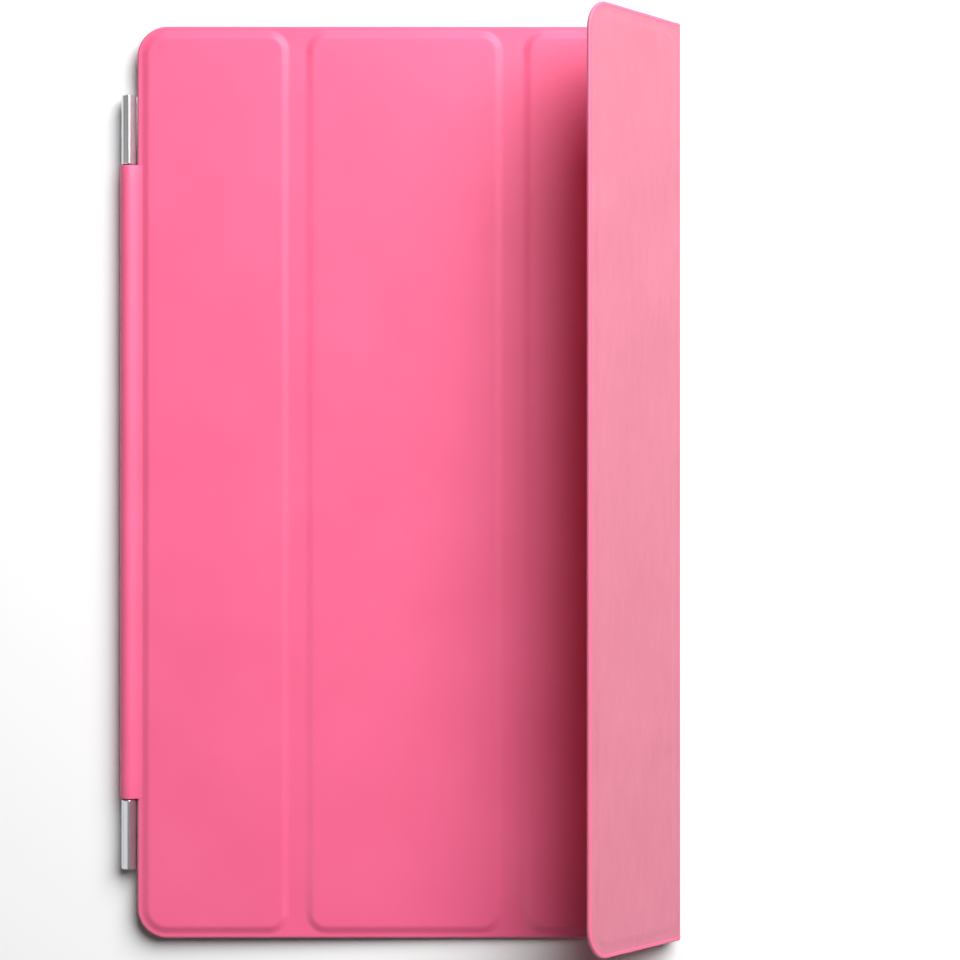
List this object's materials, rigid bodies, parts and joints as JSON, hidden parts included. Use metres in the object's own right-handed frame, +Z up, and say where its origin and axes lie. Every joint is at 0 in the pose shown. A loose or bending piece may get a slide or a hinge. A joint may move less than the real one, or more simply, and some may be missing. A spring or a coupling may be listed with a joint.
{
  "type": "fold-over tablet cover",
  "caption": "Fold-over magnetic tablet cover with stiffened panels, soft creases and a hinged aluminium spine, its end panel folded back.",
  "frame": {"origin": "middle of the underside's bounding box, on the surface the cover rests on", "axes": "+X from the spine across the flap, +Y along the hinge, +Z up"},
  "size_m": [0.148, 0.2412, 0.0393],
  "materials": {
    "cover_skin": "fine-grained moulded polyurethane, satin",
    "lining": "brushed microfibre, matt",
    "board": "glass-filled sheet, matt",
    "aluminium": "fine blasted and anodised",
    "steel": "plain ground",
    "magnet": "nickel plated",
    "bush": "natural acetal",
    "strip": "soft thin film, matt"
  },
  "bodies": {
    "panel_2": {"panel_2_skin": "cover_skin", "panel_2_board": "board", "panel_2_lining": "lining"},
    "crease_1": {"crease_1_skin": "cover_skin", "crease_1_lining": "lining"},
    "panel_1": {"panel_1_skin": "cover_skin", "panel_1_board": "board", "panel_1_lining": "lining", "keeper_plates": "steel", "hinge_tube": "aluminium", "upper_bush": "bush", "lower_bush": "bush", "tube_wrap": "cover_skin"},
    "spine": {"spine_bar": "aluminium", "upper_lug": "aluminium", "lower_lug": "aluminium", "hinge_pin": "steel", "magnet_backing": "steel", "magnet_cover_strip": "strip", "spine_magnets": "magnet"},
    "crease_2": {"crease_2_skin": "cover_skin", "crease_2_lining": "lining"},
    "panel_3": {"panel_3_skin": "cover_skin", "panel_3_board": "board", "panel_3_lining": "lining"},
    "crease_3": {"crease_3_skin": "cover_skin", "crease_3_lining": "lining"},
    "panel_4": {"panel_4_skin": "cover_skin", "panel_4_board": "board", "panel_4_lining": "lining", "edge_magnets": "magnet", "sensor_magnet": "magnet"}
  },
  "joints": [
    {"name": "crease_1_right_bend", "type": "hinge", "parent": "panel_2", "child": "crease_1", "pos_m": [-0.02553, 0, 0.0037], "axis": [0, 1, 0], "range_deg": [0, 88]},
    {"name": "crease_1_left_bend", "type": "hinge", "parent": "crease_1", "child": "panel_1", "pos_m": [-0.02928, 0, 0.0038], "axis": [0, 1, 0], "range_deg": [0, 88]},
    {"name": "spine_hinge", "type": "hinge", "parent": "panel_1", "child": "spine", "pos_m": [-0.07168, 0, 0.0034], "axis": [0, 1, 0], "range_deg": [0, 270]},
    {"name": "crease_2_left_bend", "type": "hinge", "parent": "panel_2", "child": "crease_2", "pos_m": [0.0282, 0, 0.00237], "axis": [0, 1, 0], "range_deg": [-88, 0]},
    {"name": "crease_2_right_bend", "type": "hinge", "parent": "crease_2", "child": "panel_3", "pos_m": [0.03195, 0, 0.00227], "axis": [0, 1, 0], "range_deg": [-88, 0]},
    {"name": "crease_3_left_bend", "type": "hinge", "parent": "panel_3", "child": "crease_3", "pos_m": [0.07119, 0, 0.0013], "axis": [0, -1, 0], "range_deg": [-63.5, 24.5]},
    {"name": "crease_3_right_bend", "type": "hinge", "parent": "crease_3", "child": "panel_4", "pos_m": [0.07295, 0, 0.00461], "axis": [0, -1, 0], "range_deg": [-63.5, 24.5]}
  ]
}
